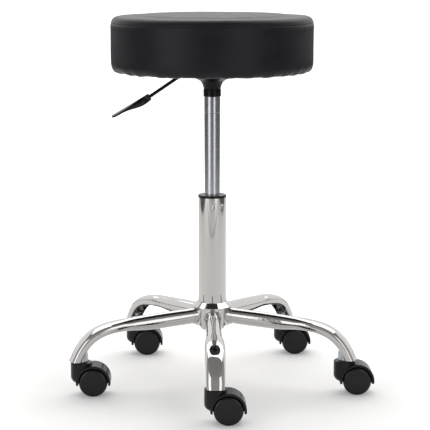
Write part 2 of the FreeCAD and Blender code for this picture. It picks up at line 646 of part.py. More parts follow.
def build_lever():
    rod, bend, drop = lever_shape()
    eye_start = Vector(-size("pivot_reach"), -size("pivot_length / 2"), size("pivot_height"))
    eye = Part.makeCylinder(size("pivot_radius + running_clearance"), size("pivot_length"),
                            eye_start, Y_AXIS)
    lever = shaped("lever_rod", rod.cut(eye))

    droop = math.radians(size("handle_droop"))
    along = Vector(-math.cos(droop), 0, -math.sin(droop))
    up = Vector(-math.sin(droop), 0, math.cos(droop))
    start = bend + drop * size("handle_start")
    half_block = size("handle_thickness_0 / 2")
    sections = []
    for number in range(len(HANDLE_STATIONS)):
        thickness = size("handle_thickness_%d" % number)
        centre = start + along * size("handle_along_%d" % number)
        sections.append(rounded_section(centre, Y_AXIS, up, size("handle_width_%d" % number),
                                        half_block, half_block - thickness,
                                        size("handle_squareness")))
    paddle = Part.makeLoft(sections, True, False)
    return [lever, shaped("lever_handle", paddle.cut(rod).Solids[0])]


# ---------------------------------------------------------------- seat

def build_seat():
    board_top = "board_bottom + board_thickness"
    blank = turned("board_blank", [
        (0, "board_bottom"), ("board_radius", "board_bottom"), ("board_radius", board_top),
        (0, board_top)])
    pockets = []
    for number, place in enumerate(bolt_places()):
        pockets.append(rod_between("board_hole_%d" % number, "nut_barrel_radius", "board_thickness",
                                   place + Vector(0, 0, size("board_bottom"))))
        pockets.append(rod_between("board_recess_%d" % number, "nut_radius", "nut_flange",
                                   place + Vector(0, 0, size(board_top + " - nut_flange"))))
    board = cut("seat_board", blank, pockets)

    inside = "seat_radius - vinyl"
    foam_side = inside + " - fabric_gap"
    foam = turned("foam_cushion", [
        (0, board_top + " + fabric_gap"), ("board_radius + fabric_gap", board_top + " + fabric_gap"),
        ("board_radius + fabric_gap", "foam_lip"), (foam_side, "foam_lip"),
        (foam_side, "seat_top - vinyl - fabric_gap"), (0, "seat_top - vinyl - fabric_gap")])
    round_rims(foam, "top_round - vinyl", [(foam_side, "seat_top - vinyl - fabric_gap")])
    round_rims(foam, "foam_lip_round", [(foam_side, "foam_lip")])

    top_cover = turned("cover_top", [
        (inside, "seam_height"), ("seat_radius", "seam_height"), ("seat_radius", "seat_top"),
        (0, "seat_top"), (0, "seat_top - vinyl"), (inside, "seat_top - vinyl")])
    round_rims(top_cover, "top_round", [("seat_radius", "seat_top")])
    round_rims(top_cover, "top_round - vinyl", [(inside, "seat_top - vinyl")])

    band = turned("cover_band", [
        ("wrap_inner_radius", "seat_bottom"), ("seat_radius", "seat_bottom"),
        ("seat_radius", "seam_height"), (inside, "seam_height"), (inside, "seat_bottom + vinyl"),
        ("wrap_inner_radius", "seat_bottom + vinyl")])
    round_rims(band, "bottom_round", [("seat_radius", "seat_bottom")])
    round_rims(band, "bottom_round - vinyl", [(inside, "seat_bottom + vinyl")])

    on_plate = Vector(0, 0, size("plate_top"))
    disc = rod_between("dust_disc", "dust_cover_radius", "dust_cover_thickness", on_plate)
    holes = [rod_between("dust_hole_%d" % number, "bolt_hole", "dust_cover_thickness",
                         place + on_plate) for number, place in enumerate(bolt_places())]
    dust_cover = cut("dust_cover", disc, holes)

    staples = []
    wire = 2 * size("staple_wire")
    crown = Part.makeBox(wire, size("staple_crown"), wire,
                         Vector(-wire / 2, -size("staple_crown") / 2, size("plate_top") - wire))
    legs = [Part.makeBox(wire, wire, size("staple_leg"),
                         Vector(-wire / 2, side * (size("staple_crown") - wire) / 2 - wire / 2,
                                size("plate_top") - wire)) for side in (-1, 1)]
    staple = crown.multiFuse(legs).removeSplitter()
    for number in range(int(size("staple_count"))):
        angle = 360 * (number + 0.5) / size("staple_count")
        turn = FreeCAD.Placement(polar(size("staple_circle"), angle), FreeCAD.Rotation(Z_AXIS, angle))
        staples.append(shaped("staple_%d" % number, staple, turn))
    return [board, foam, top_cover, band, dust_cover, group("staples", staples)]


# ---------------------------------------------------------------- casters

def build_caster(number, foot):
    """One twin-wheel caster: hood, axle and two hollow-backed wheels, trailing along +X."""
    name = "caster_%d_" % number
    axle_centre = foot + Vector(size("caster_trail"), 0, size("wheel_radius"))

    housing = turned(name + "housing", [
        (0, "housing_bottom"), ("housing_radius", "housing_bottom"), ("housing_radius", "housing_top"),
        (0, "housing_top")], foot)
    round_rims(housing, "housing_round", [("housing_radius", "housing_bottom")])
    round_rims(housing, "housing_top_round", [("housing_radius", "housing_top")])
    sideways = FreeCAD.Rotation(Z_AXIS, Y_AXIS)
    drum = turned(name + "drum", [
        (0, 0), ("hood_radius", 0), ("hood_radius", "2 * hood_half_width"),
        (0, "2 * hood_half_width")], axle_centre - Y_AXIS * size("hood_half_width"), sideways)
    round_rims(drum, "hood_round", [("hood_radius", 0), ("hood_radius", "2 * hood_half_width")])
    wells = []
    for side, direction in (("left", Y_AXIS), ("right", -Y_AXIS)):
        wells.append(rod_between(name + "well_" + side, "well_radius", "hood_half_width",
                                 axle_centre + direction * size("well_face"), direction))
    reach = size("hood_radius")
    below = block(name + "below", "4 * hood_radius", "2 * hood_radius", "hood_tip_height + hood_radius",
                  foot + Vector(-2 * reach, -reach, -reach))
    shell = cut(name + "shell", fuse(name + "blank", [housing, drum]), wells + [below])
    web = rod_between(name + "web", "web_radius", "2 * well_face",
                      axle_centre - Y_AXIS * size("well_face"), Y_AXIS)
    stem_bore = rod_between(name + "stem_bore", "stem_shank_radius + running_clearance",
                            "housing_top - stem_bore_bottom + overshoot",
                            foot + Vector(0, 0, size("stem_bore_bottom")))
    axle_start = axle_centre - Y_AXIS * size("axle_half_length")
    axle_bore = rod_between(name + "axle_bore", "axle_radius", "2 * axle_half_length", axle_start, Y_AXIS)
    hood = cut(name + "hood", fuse(name + "moulding", [shell, web]), [stem_bore, axle_bore])
    axle = rod_between(name + "axle", "axle_radius", "2 * axle_half_length", axle_start, Y_AXIS)

    width = "wheel_outer_face - wheel_inner_face"
    back = width + " - wheel_web"
    blind = back + " + axle_tip_gap"
    outline = [
        ("axle_radius + running_clearance", 0), ("wheel_hub_radius", 0), ("wheel_hub_radius", back),
        ("wheel_radius - wheel_rim", back), ("wheel_radius - wheel_rim", 0), ("wheel_radius", 0),
        ("wheel_radius", width), (0, width), (0, blind), ("axle_radius + running_clearance", blind)]
    wheels = []
    for side, direction in (("left", Y_AXIS), ("right", -Y_AXIS)):
        wheel = turned(name + "wheel_" + side, outline,
                       axle_centre + direction * size("wheel_inner_face"),
                       FreeCAD.Rotation(Z_AXIS, direction))
        wheels.append(round_rims(wheel, "wheel_round", [("wheel_radius", width)]))
    return [hood, axle] + wheels


def check_document():
    """Stop if any object failed, or any sub-part is empty, invalid or the wrong count of solids."""
    for item in doc.Objects:
        if "Invalid" in item.State or "Error" in item.State:
            raise RuntimeError("failed object: %s %s" % (item.Label, item.State))
    for part in parts:
        if part.Shape.isNull() or not part.Shape.isValid() or not part.Shape.Solids:
            raise RuntimeError("bad shape: " + part.Label)
        if not part.TypeId == "Part::Compound" and len(part.Shape.Solids) != 1:
            raise RuntimeError("%s has %d solids" % (part.Label, len(part.Shape.Solids)))


parts = build_base() + build_column() + build_piston_rod() + build_pressure_tube()
parts += build_mechanism() + build_lever() + build_seat()
for caster_number, caster_foot in enumerate(STEM_FEET, start=1):
    parts += build_caster(caster_number, caster_foot)
doc.recompute()
check_document()

os.makedirs("parts", exist_ok=True)
for part in parts:
    part.Shape.exportStep("parts/%s.step" % part.Label)
print("wrote %d sub-parts" % len(parts))
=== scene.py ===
import json
import math

import bpy
import numpy as np
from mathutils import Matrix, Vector, noise
from mathutils.bvhtree import BVHTree


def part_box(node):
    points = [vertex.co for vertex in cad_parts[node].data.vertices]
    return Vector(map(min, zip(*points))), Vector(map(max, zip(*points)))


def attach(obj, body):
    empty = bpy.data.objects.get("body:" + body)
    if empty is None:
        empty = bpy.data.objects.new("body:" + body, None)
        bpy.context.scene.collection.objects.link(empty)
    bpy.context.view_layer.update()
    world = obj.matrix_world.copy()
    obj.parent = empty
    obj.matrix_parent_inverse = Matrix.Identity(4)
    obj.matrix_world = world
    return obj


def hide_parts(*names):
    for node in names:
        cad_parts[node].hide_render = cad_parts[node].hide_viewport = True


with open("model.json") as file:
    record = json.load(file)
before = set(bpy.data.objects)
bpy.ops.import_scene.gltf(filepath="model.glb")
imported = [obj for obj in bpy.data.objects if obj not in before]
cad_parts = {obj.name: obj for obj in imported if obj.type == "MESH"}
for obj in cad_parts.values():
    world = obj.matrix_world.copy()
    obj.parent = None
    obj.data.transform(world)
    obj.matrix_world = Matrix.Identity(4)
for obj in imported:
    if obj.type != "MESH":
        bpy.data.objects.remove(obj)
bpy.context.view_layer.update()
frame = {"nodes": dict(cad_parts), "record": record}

# ---------------------------------------------------------------- places taken from the frame

BAND_LOW, BAND_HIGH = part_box("cover_band")
TOP_LOW, TOP_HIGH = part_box("cover_top")
CLOTH_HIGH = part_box("dust_cover")[1]
PLATE_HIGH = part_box("seat_plate")[1]
STAPLES_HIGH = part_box("staples")[1]
STAPLE_INSET = 0.001  # the cloth is held a little inside the staples' outer sides

SEAT_RADIUS = BAND_HIGH.x
SEAT_BOTTOM = BAND_LOW.z
SEAT_SEAM = TOP_LOW.z
SEAT_TOP = TOP_HIGH.z
STAPLE_RADIUS = STAPLES_HIGH.x - STAPLE_INSET


# ---------------------------------------------------------------- node materials

class Nodes:
    """Shader nodes of one tree, joined by short calls."""

    def __init__(self, tree):
        self.tree = tree

    def node(self, kind, sockets=None, **settings):
        """New node; a socket's value is a number, a tuple or another node's output."""
        made = self.tree.nodes.new("ShaderNode" + kind)
        for name, value in settings.items():
            setattr(made, name, value)
        for socket, value in (sockets or {}).items():
            if isinstance(value, bpy.types.NodeSocket):
                self.tree.links.new(value, made.inputs[socket])
            else:
                made.inputs[socket].default_value = value
        return made

    def math(self, operation, first, second=0.0):
        return self.node("Math", {0: first, 1: second}, operation=operation).outputs[0]


class Finish(Nodes):
    """A Principled material with its nodes, placed by the object's own coordinates in metres."""

    def __init__(self, name, color, roughness, **values):
        self.material = bpy.data.materials.new(name)
        self.material.use_nodes = True
        super().__init__(self.material.node_tree)
        self.shader = self.tree.nodes["Principled BSDF"]
        self.shader.inputs["Base Color"].default_value = (*color, 1)
        self.shader.inputs["Roughness"].default_value = roughness
        for socket, value in values.items():
            self.shader.inputs[socket.replace("_", " ")].default_value = value
        coordinates = self.tree.nodes.new("ShaderNodeTexCoord")
        self.place = coordinates.outputs["Object"]
        self.facing = coordinates.outputs["Normal"]

    def noise(self, scale, detail=3.0, roughness=0.5, place=None):
        sockets = {"Vector": place or self.place, "Scale": scale, "Detail": detail,
                   "Roughness": roughness}
        return self.node("TexNoise", sockets).outputs["Fac"]

    def stretched(self, scale):
        """The object's coordinates scaled unevenly, for grain that runs one way."""
        return self.node("VectorMath", {0: self.place, 1: scale}, operation="MULTIPLY").outputs[0]

    def spread(self, value, low, high, from_low=0.3, from_high=0.7):
        sockets = {"Value": value, "From Min": from_low, "From Max": from_high,
                   "To Min": low, "To Max": high}
        return self.node("MapRange", sockets).outputs["Result"]

    def mixed(self, factor, first, second):
        """Blend of two colours by another node's output."""
        ends = {"A": (*first, 1), "B": (*second, 1)}
        made = self.node("Mix", data_type="RGBA")
        for socket in made.inputs:
            if socket.name == "Factor" and socket.type == "VALUE":
                self.tree.links.new(factor, socket)
            if socket.name in "AB" and socket.type == "RGBA":
                socket.default_value = ends[socket.name]
        return next(out for out in made.outputs if out.type == "RGBA")

    def drive(self, socket, value):
        self.tree.links.new(value, self.shader.inputs[socket])

    def bump(self, height, distance, strength=1.0, below=None):
        """Bump whose height of 0 to 1 stands for the distance in metres; they can be stacked."""
        sockets = {"Height": height, "Distance": distance, "Strength": strength}
        if below:
            sockets["Normal"] = below
        out = self.node("Bump", sockets).outputs["Normal"]
        self.drive("Normal", out)
        return out


def chrome_plate():
    """Bright chrome over pressed steel, with the faint ripple of polishing."""
    finish = Finish("chrome_plate", (0.61, 0.595, 0.585), 0.06, Metallic=1.0)
    finish.drive("Roughness", finish.spread(finish.noise(38, 4), 0.025, 0.07))
    ripple = finish.bump(finish.noise(26, 1), 0.00006, 0.4)
    finish.bump(finish.noise(500, 1), 0.000002, 0.6, ripple)
    return finish.material


def zinc_plate():
    """Clear zinc plating: a blue-grey with a patchy bloom."""
    finish = Finish("zinc_plate", (0.55, 0.57, 0.60), 0.3, Metallic=1.0)
    patches = finish.spread(finish.noise(220, 4), 0.0, 1.0)
    finish.drive("Base Color", finish.mixed(patches, (0.50, 0.53, 0.58), (0.66, 0.67, 0.67)))
    finish.drive("Roughness", finish.spread(finish.noise(320, 3), 0.2, 0.42))
    finish.bump(finish.noise(1500, 3), 0.00002, 1.0)
    return finish.material


def ground_steel():
    """Steel ground on centres: very fine lines round the vertical axis."""
    finish = Finish("ground_steel", (0.60, 0.615, 0.65), 0.2, Metallic=1.0)
    lines = finish.noise(1.0, 3, 0.6, finish.stretched((60, 60, 2600)))
    finish.drive("Roughness", finish.spread(lines, 0.18, 0.28))
    finish.bump(lines, 0.000005, 1.0)
    return finish.material


def moulded(name, color, low, high, grain_size, grain_depth, specular=0.24):
    """Moulded plastic or rubber with a spark-eroded grain and slightly uneven gloss."""
    finish = Finish(name, color, (low + high) / 2, Specular_IOR_Level=specular)
    finish.drive("Roughness", finish.spread(finish.noise(90, 4), low, high))
    tint = tuple(value * 1.35 for value in color)
    finish.drive("Base Color", finish.mixed(finish.spread(finish.noise(45, 5), 0, 1), color, tint))
    grain = finish.bump(finish.noise(0.6 / grain_size, 2), grain_depth, 1.0)
    finish.bump(finish.noise(40, 1), 0.0001, 0.4, grain)
    return finish


def black_plastic():
    return moulded("black_plastic", (0.007, 0.007, 0.0075), 0.2, 0.3, 0.0006, 0.000014).material


def wheel_plastic():
    """Nylon wheels: matt on their flat faces, polished on treads and bevels."""
    finish = moulded("wheel_plastic", (0.002, 0.002, 0.0022), 0.2, 0.3, 0.0009, 0.000006, 0.42)
    parts = finish.node("SeparateXYZ", {0: finish.facing})
    sideways = finish.math("ABSOLUTE", parts.outputs["Y"])
    face = finish.spread(sideways, 0.1, 0.5, 0.965, 0.998)
    uneven = finish.spread(finish.noise(110, 4), -0.03, 0.05)
    finish.drive("Roughness", finish.math("ADD", face, uneven))
    return finish.material


def black_rubber():
    return moulded("black_rubber", (0.01, 0.01, 0.01), 0.6, 0.75, 0.0008, 0.00003).material


def black_enamel():
    """Stoved enamel on sheet steel, with a faint orange peel."""
    finish = Finish("black_enamel", (0.0035, 0.0035, 0.004), 0.3, Specular_IOR_Level=0.2)
    finish.drive("Roughness", finish.spread(finish.noise(70, 4), 0.22, 0.38))
    finish.bump(finish.noise(480, 2), 0.00003, 0.7)
    return finish.material


def plywood():
    """Birch plywood: flat grain on the faces, stacked plies on the edge."""
    finish = Finish("plywood", (0.62, 0.45, 0.28), 0.6)
    grain = finish.noise(1.0, 6, 0.6, finish.stretched((18, 260, 900)))
    finish.drive("Base Color", finish.mixed(finish.spread(grain, 0, 1),
                                            (0.50, 0.34, 0.20), (0.72, 0.55, 0.36)))
    finish.bump(grain, 0.0001, 0.6)
    return finish.material


def black_vinyl():
    """Leathercloth: rounded pebbles a millimetre across, with finer creases between them."""
    finish = Finish("black_vinyl", (0.0105, 0.0093, 0.0125), 0.38, Specular_IOR_Level=0.22)
    finish.drive("Roughness", finish.spread(finish.noise(70, 5), 0.32, 0.42))
    warp = finish.node("TexNoise", {"Vector": finish.place, "Scale": 320.0, "Detail": 2.0})
    shifted = finish.node("VectorMath", {0: warp.outputs["Color"], 1: (0.0009, 0.0009, 0.0009)},
                          operation="MULTIPLY").outputs[0]
    place = finish.node("VectorMath", {0: finish.place, 1: shifted}, operation="ADD").outputs[0]
    cells = finish.node("TexVoronoi", {"Vector": place, "Scale": 820.0},
                        feature="DISTANCE_TO_EDGE").outputs["Distance"]
    pebbles = finish.spread(cells, 0.0, 1.0, 0.0, 0.28)
    grain = finish.bump(pebbles, 0.00005, 0.8)
    creases = finish.bump(finish.noise(2600, 3), 0.00001, 1.0, grain)
    finish.bump(finish.noise(22, 3), 0.0006, 0.5, creases)
    tint = finish.mixed(finish.spread(finish.noise(35, 4), 0, 1),
                        (0.0090, 0.0078, 0.0108), (0.0122, 0.0108, 0.0145))
    finish.drive("Base Color", tint)
    return finish.material


def dust_cloth():
    """Spun-bonded cloth: pressed fibres lying in every direction, point-bonded in a grid."""
    finish = Finish("dust_cloth", (0.02, 0.02, 0.021), 0.9, Sheen_Weight=0.25)
    fibres = finish.noise(1.0, 4, 0.7, finish.stretched((2400, 500, 500)))
    across = finish.noise(1.0, 4, 0.7, finish.stretched((500, 2400, 500)))
    felt = finish.math("MAXIMUM", fibres, across)
    finish.drive("Base Color", finish.mixed(finish.spread(felt, 0, 1),
                                            (0.012, 0.012, 0.013), (0.04, 0.04, 0.042)))
    points = finish.node("TexVoronoi", {"Vector": finish.place, "Scale": 700.0,
                                        "Randomness": 0.15}).outputs["Distance"]
    below = finish.bump(felt, 0.00008, 0.8)
    finish.bump(finish.spread(points, 0, 1, 0.1, 0.35), 0.00006, 0.8, below)
    return finish.material


def foam():
    """Open-cell foam, never seen from outside."""
    return moulded("foam", (0.75, 0.70, 0.50), 0.85, 0.95, 0.0012, 0.0003).material


FINISHES = {
    make.__name__: make() for make in (
        chrome_plate, zinc_plate, ground_steel, black_plastic, wheel_plastic, black_rubber,
        black_enamel, plywood, foam, black_vinyl, dust_cloth)
}


def dress_frame():
    """Gives every CAD node the finish that its material slot names."""
    for row in frame["record"]["subparts"]:
        node = frame["nodes"][row["node"]]
        node.data.materials.clear()
        node.data.materials.append(FINISHES[row["material_slot"]])


dress_frame()


# ---------------------------------------------------------------- mesh helpers

def mesh_object(name, points, faces, finish):
    mesh = bpy.data.meshes.new(name)
    mesh.from_pydata([tuple(p) for p in points], [], faces)
    mesh.update()
    mesh.shade_smooth()
    made = bpy.data.objects.new(name, mesh)
    bpy.context.scene.collection.objects.link(made)
    if finish:
        mesh.materials.append(FINISHES[finish])
    return made


def turned_faces(rings, segments):
    """Quads of a turned surface whose first and last rings close onto a single point each."""
    faces = []
    for ring in range(rings - 1):
        for step in range(segments):
            after = (step + 1) % segments
            low, high = ring * segments, (ring + 1) * segments
            faces.append((low + step, low + after, high + after, high + step))
    first, last = rings * segments, rings * segments + 1
    top = (rings - 1) * segments
    for step in range(segments):
        after = (step + 1) % segments
        faces.append((first, after, step))
        faces.append((last, top + step, top + after))
    return faces


def turned_points(outline, segments):
    """Points of an outline of (radius, height) turned about the vertical axis."""
    angles = np.arange(segments) * 2 * math.pi / segments
    radii = outline[:, 0][:, None]
    flat = np.stack([radii * np.cos(angles), radii * np.sin(angles),
                     np.repeat(outline[:, 1][:, None], segments, 1)], -1)
    return flat.reshape(-1, 3)


def arc(centre, radius, start, end, steps):
    turns = np.radians(np.linspace(start, end, steps + 1))
    return [(centre[0] + radius * math.cos(t), centre[1] + radius * math.sin(t)) for t in turns]


def evenly(outline, spacing):
    """The outline's points spread out again at an even spacing."""
    points = np.array(outline, float)
    lengths = np.concatenate([[0], np.cumsum(np.linalg.norm(np.diff(points, axis=0), axis=1))])
    places = np.linspace(0, lengths[-1], max(2, int(round(lengths[-1] / spacing)) + 1))
    return np.stack([np.interp(places, lengths, points[:, 0]),
                     np.interp(places, lengths, points[:, 1])], 1)


# ---------------------------------------------------------------- seat cushion

# roundings of the outline, and how far the middle of the top stands above its rim
EDGE_ROUND = 0.0095
FOOT_ROUND = 0.0125
CROWN = 0.0025

# points of the finished surface
SEGMENTS = 512
ARC_STEPS = 10
OUTLINE_START = 0.004
OUTLINE_SPACING = 0.0028
SEAM_TUCK = 0.004
SEAM_STRIP = 0.003
SEAM_STEP = 0.0005

# cloth simulation: the pad starts a little smaller than the cover and is blown up
SIM_SHRINK = 0.003
SIM_SPACING = 0.006
SIM_SEGMENTS = 180
SIM_VOXEL = 0.006
SIM_FRAMES = 20
SIM_PRESSURE = 4
SIM_CAP = 0.006

# what the simulation holds still: the underside with part of its rounding, and a strip at the seam
HELD_FOOT_SHARE = 0.7
HELD_SEAM_SHARE = 0.6
HELD_SEAM_DEPTH = 0.012

# how much of the settled shape is kept: broad waves all over, finer ones near the foot
SWELL_LIMIT = 0.0022
FOLD_HEIGHT = 0.012
BROAD_WAVES = 6
FINE_WAVES = 90

# how far in the side reaches, and where outward moves begin to fade towards the middle
SIDE_DEPTH = 0.004
MIDDLE_FADE = 0.02

# sewn seam: depth and width of the groove; height, place and width of the rolls beside it
GROOVE_DEPTH, GROOVE_WIDTH = 0.0008, 0.0008
SEAM_ROLLS = ((0.0006, 0.0040, 0.0030), (0.0003, -0.0050, 0.0040))

# folds at the lower edge: count, seed, narrowest and widest
CREASES = (37, 5, 0.0022, 0.0052)
SLACK_FOLDS = (29, 9, 0.007, 0.020)
FOLD_SCATTER = 0.38
FOLD_WEAKEST = 0.2
FOLD_START, FOLD_FADE, FOLD_POWER = 0.003, 0.005, 1.5
FOLD_INNER_FADE = 0.008
CREASE_DEPTH, CREASE_LIFT, SLACK_DROP = 0.0008, 0.0010, 0.0023

# unevenness of hand upholstery: waves to the metre, and how far it moves the side and the top
UNEVEN_SCALE, UNEVEN_SIDE, UNEVEN_TOP = 16, 0.0005, 0.0006


def cushion_outline(shrink=0.0):
    """Outer outline from the underside's middle, round the side, to the middle of the top."""
    radius = SEAT_RADIUS - shrink
    top = SEAT_TOP - shrink
    foot = SEAT_BOTTOM
    points = [(OUTLINE_START, foot), (radius - FOOT_ROUND, foot)]
    points += arc((radius - FOOT_ROUND, foot + FOOT_ROUND), FOOT_ROUND, -90, 0, ARC_STEPS)[1:]
    points += [(radius, SEAT_SEAM - SEAM_TUCK), (radius, SEAT_SEAM)]
    points += arc((radius - EDGE_ROUND, top - EDGE_ROUND), EDGE_ROUND, 0, 90, ARC_STEPS)
    points += [(OUTLINE_START, top)]
    return points


def close_at_seam(outline):
    """The outline with its points only half a millimetre apart beside the sewn seam."""
    steps = np.arange(-SEAM_STRIP + SEAM_STEP, SEAM_STRIP, SEAM_STEP)
    seam = np.stack([np.full_like(steps, SEAT_RADIUS), SEAT_SEAM + steps], 1)
    below = outline[outline[:, 1] <= SEAT_SEAM - SEAM_STRIP]
    above = outline[outline[:, 1] >= SEAT_SEAM + SEAM_STRIP]
    return np.concatenate([below, seam, above])


def swollen_cushion():
    """Cloth simulation of the stuffed cover; returns the surface it settles to."""
    outline = evenly(cushion_outline(SIM_SHRINK), SIM_SPACING)
    points = list(turned_points(outline, SIM_SEGMENTS))
    points += [(0, 0, outline[0][1]), (0, 0, outline[-1][1])]
    faces = turned_faces(len(outline), SIM_SEGMENTS)
    pad = mesh_object("pad_for_simulation", points, faces, None)
    bpy.context.view_layer.objects.active = pad
    remesh = pad.modifiers.new("remesh", "REMESH")
    remesh.mode = "VOXEL"
    remesh.voxel_size = SIM_VOXEL
    apply_modifiers(pad)
    start = vertex_array(pad)
    radii = np.hypot(start[:, 0], start[:, 1])
    held = start[:, 2] < SEAT_BOTTOM + FOOT_ROUND * HELD_FOOT_SHARE
    at_seam = np.abs(start[:, 2] - SEAT_SEAM) < SIM_VOXEL * HELD_SEAM_SHARE
    held |= at_seam & (radii > SEAT_RADIUS - HELD_SEAM_DEPTH)
    group = pad.vertex_groups.new(name="held")
    group.add([int(i) for i in np.nonzero(held)[0]], 1.0, "REPLACE")
    cloth = pad.modifiers.new("cloth", "CLOTH")
    cloth.settings.use_pressure = True
    cloth.settings.uniform_pressure_force = SIM_PRESSURE
    cloth.settings.effector_weights.gravity = 0
    cloth.settings.vertex_group_mass = "held"
    cloth.point_cache.frame_start = 1
    cloth.point_cache.frame_end = SIM_FRAMES
    for number in range(1, SIM_FRAMES + 1):
        bpy.context.scene.frame_set(number)
    apply_modifiers(pad)
    end = vertex_array(pad)
    bpy.context.scene.frame_set(1)
    move = end - start
    size = np.linalg.norm(move, axis=1)[:, None]
    end = start + move * np.minimum(1, SIM_CAP / np.maximum(size, 1e-9))
    pad.data.vertices.foreach_set("co", end.astype(np.float32).ravel())
    smooth = pad.modifiers.new("smooth", "SUBSURF")
    smooth.levels = 1
    apply_modifiers(pad)
    surface = BVHTree.FromPolygons(vertex_array(pad).tolist(),
                                   [tuple(face.vertices) for face in pad.data.polygons])
    bpy.data.objects.remove(pad)
    return surface


def apply_modifiers(made):
    """Replaces the object's mesh with what its modifiers make of it."""
    bpy.context.view_layer.update()
    graph = bpy.context.evaluated_depsgraph_get()
    mesh = bpy.data.meshes.new_from_object(made.evaluated_get(graph))
    made.modifiers.clear()
    made.data = mesh


def vertex_array(made):
    points = np.zeros(len(made.data.vertices) * 3, np.float32)
    made.data.vertices.foreach_get("co", points)
    return points.reshape(-1, 3).astype(float)


def settled_points(points, surface):
    """Moves the points out to the simulated surface, along rays from inside the cushion."""
    inside = Vector((0, 0, (SEAT_BOTTOM + SEAT_TOP) / 2))
    moved = points.copy()
    for index, point in enumerate(points):
        ray = Vector(point) - inside
        hit, _, _, _ = surface.ray_cast(inside, ray.normalized())
        if hit is not None:
            moved[index] = hit
    return moved


def folds_round_edge(angles, count, seed, narrow, wide):
    """Height from 0 to 1 of ridges at uneven places round the rim."""
    chance = np.random.default_rng(seed)
    ridges = np.zeros_like(angles)
    places = (np.arange(count) + chance.uniform(-FOLD_SCATTER, FOLD_SCATTER, count)) * 2 * math.pi / count
    widths = chance.uniform(narrow, wide, count) / SEAT_RADIUS
    for place, width, strength in zip(places, widths, chance.uniform(FOLD_WEAKEST, 1, count)):
        away = (angles - place + math.pi) % (2 * math.pi) - math.pi
        ridges = np.maximum(ridges, strength * np.exp(-(away / width) ** 2))
    return ridges


def calmed(values, near_foot):
    """Keeps the broad swell of each ring; fine folds stay only near the foot of the band."""
    waves = np.fft.rfft(values, axis=1)
    broad = waves.copy()
    broad[:, BROAD_WAVES:] = 0
    waves[:, FINE_WAVES:] = 0
    broad = np.fft.irfft(broad, SEGMENTS, axis=1)
    fine = np.fft.irfft(waves, SEGMENTS, axis=1) - broad
    return broad + fine * near_foot


def upholstery():
    """The cushion's rings of points: crowned top sewn to a band drawn under the board."""
    outline = close_at_seam(evenly(cushion_outline(), OUTLINE_SPACING))
    points = turned_points(outline, SEGMENTS)
    shape = points.reshape(len(outline), SEGMENTS, 3).copy()
    angles = np.arctan2(shape[..., 1], shape[..., 0])
    height = shape[..., 2].copy()
    radius = np.hypot(shape[..., 0], shape[..., 1])
    outward = np.stack([np.cos(angles), np.sin(angles), np.zeros_like(angles)], -1)
    side = np.clip((height - SEAT_BOTTOM) / FOOT_ROUND, 0, 1)
    inward = np.clip(radius / (SEAT_RADIUS - MIDDLE_FADE), 0, 1)
    upper = np.clip((height - SEAT_SEAM) / (SEAT_TOP - SEAT_SEAM), 0, 1)

    settled = settled_points(points, swollen_cushion()).reshape(shape.shape)
    near_foot = np.exp(-((height - SEAT_BOTTOM) / FOLD_HEIGHT) ** 2)
    swell = calmed(np.hypot(settled[..., 0], settled[..., 1]) - radius, near_foot)
    on_side = (radius > SEAT_RADIUS - SIDE_DEPTH) & (side >= 1)
    swell = np.clip(swell - swell[on_side].max(), -SWELL_LIMIT, SWELL_LIMIT)
    shape += outward * (swell * side * inward)[..., None]
    rise = calmed(settled[..., 2] - height, near_foot)
    shape[..., 2] += upper * np.clip(rise - rise[-1].mean(), -SWELL_LIMIT, SWELL_LIMIT)
    shape[..., 2] += upper * CROWN * (1 - (radius / SEAT_RADIUS) ** 2)

    # sewn seam: a narrow groove, with the top panel rolling over it
    from_seam = height - SEAT_SEAM
    near_side = radius > SEAT_RADIUS - EDGE_ROUND
    groove = -GROOVE_DEPTH * np.exp(-(from_seam / GROOVE_WIDTH) ** 2)
    roll = sum(rise * np.exp(-((from_seam - place) / width) ** 2) for rise, place, width in SEAM_ROLLS)
    shape += outward * ((groove + roll) * near_side)[..., None]

    # creases and slack where the band is drawn round the board's lower edge
    above_folds = np.maximum(0, height - SEAT_BOTTOM - FOLD_START)
    low = np.exp(-(above_folds / FOLD_FADE) ** FOLD_POWER)
    outer = np.clip((radius - STAPLE_RADIUS) / FOLD_INNER_FADE, 0, 1)
    deep = folds_round_edge(angles, *CREASES)
    slack = folds_round_edge(angles, *SLACK_FOLDS)
    shape -= outward * (CREASE_DEPTH * deep * low * outer)[..., None]
    shape[..., 2] += (CREASE_LIFT * deep - SLACK_DROP * slack) * low * outer

    # slight unevenness of hand upholstery
    places = shape.reshape(-1, 3)
    uneven = np.array([noise.noise(Vector(place) * UNEVEN_SCALE) for place in places])
    uneven = uneven.reshape(height.shape)
    shape += outward * (uneven * UNEVEN_SIDE * side * inward)[..., None]
    shape[..., 2] += uneven * UNEVEN_TOP * upper
    return shape


def make_seat():
    """The stuffed cushion: foam, top panel and band in one piece."""
    shape = upholstery()
    rings = shape.shape[0]
    points = list(shape.reshape(-1, 3))
    points += [(0, 0, shape[0, :, 2].mean()), (0, 0, shape[-1, :, 2].mean())]
    seat = mesh_object("seat_cushion", points, turned_faces(rings, SEGMENTS), "black_vinyl")
    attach(seat, "seat")
    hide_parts("foam_cushion", "cover_top", "cover_band")


make_seat()


# ---------------------------------------------------------------- dust cloth under the seat

CLOTH_RADIUS = CLOTH_HIGH.x
CLOTH_MIDDLE = 0.003
CLOTH_RINGS = 40
CLOTH_SEGMENTS = 192
CLOTH_RIPPLES = 24
CLOTH_SAG = 0.0012
CLOTH_GAP = 0.0003

# shares of the sag: the same all round, in slow waves, and in even ripples round the cloth
SAG_EVEN, SAG_WAVES, SAG_RIPPLE = 0.7, 0.8, 0.25
SAG_WAVE_SCALE = 2.4


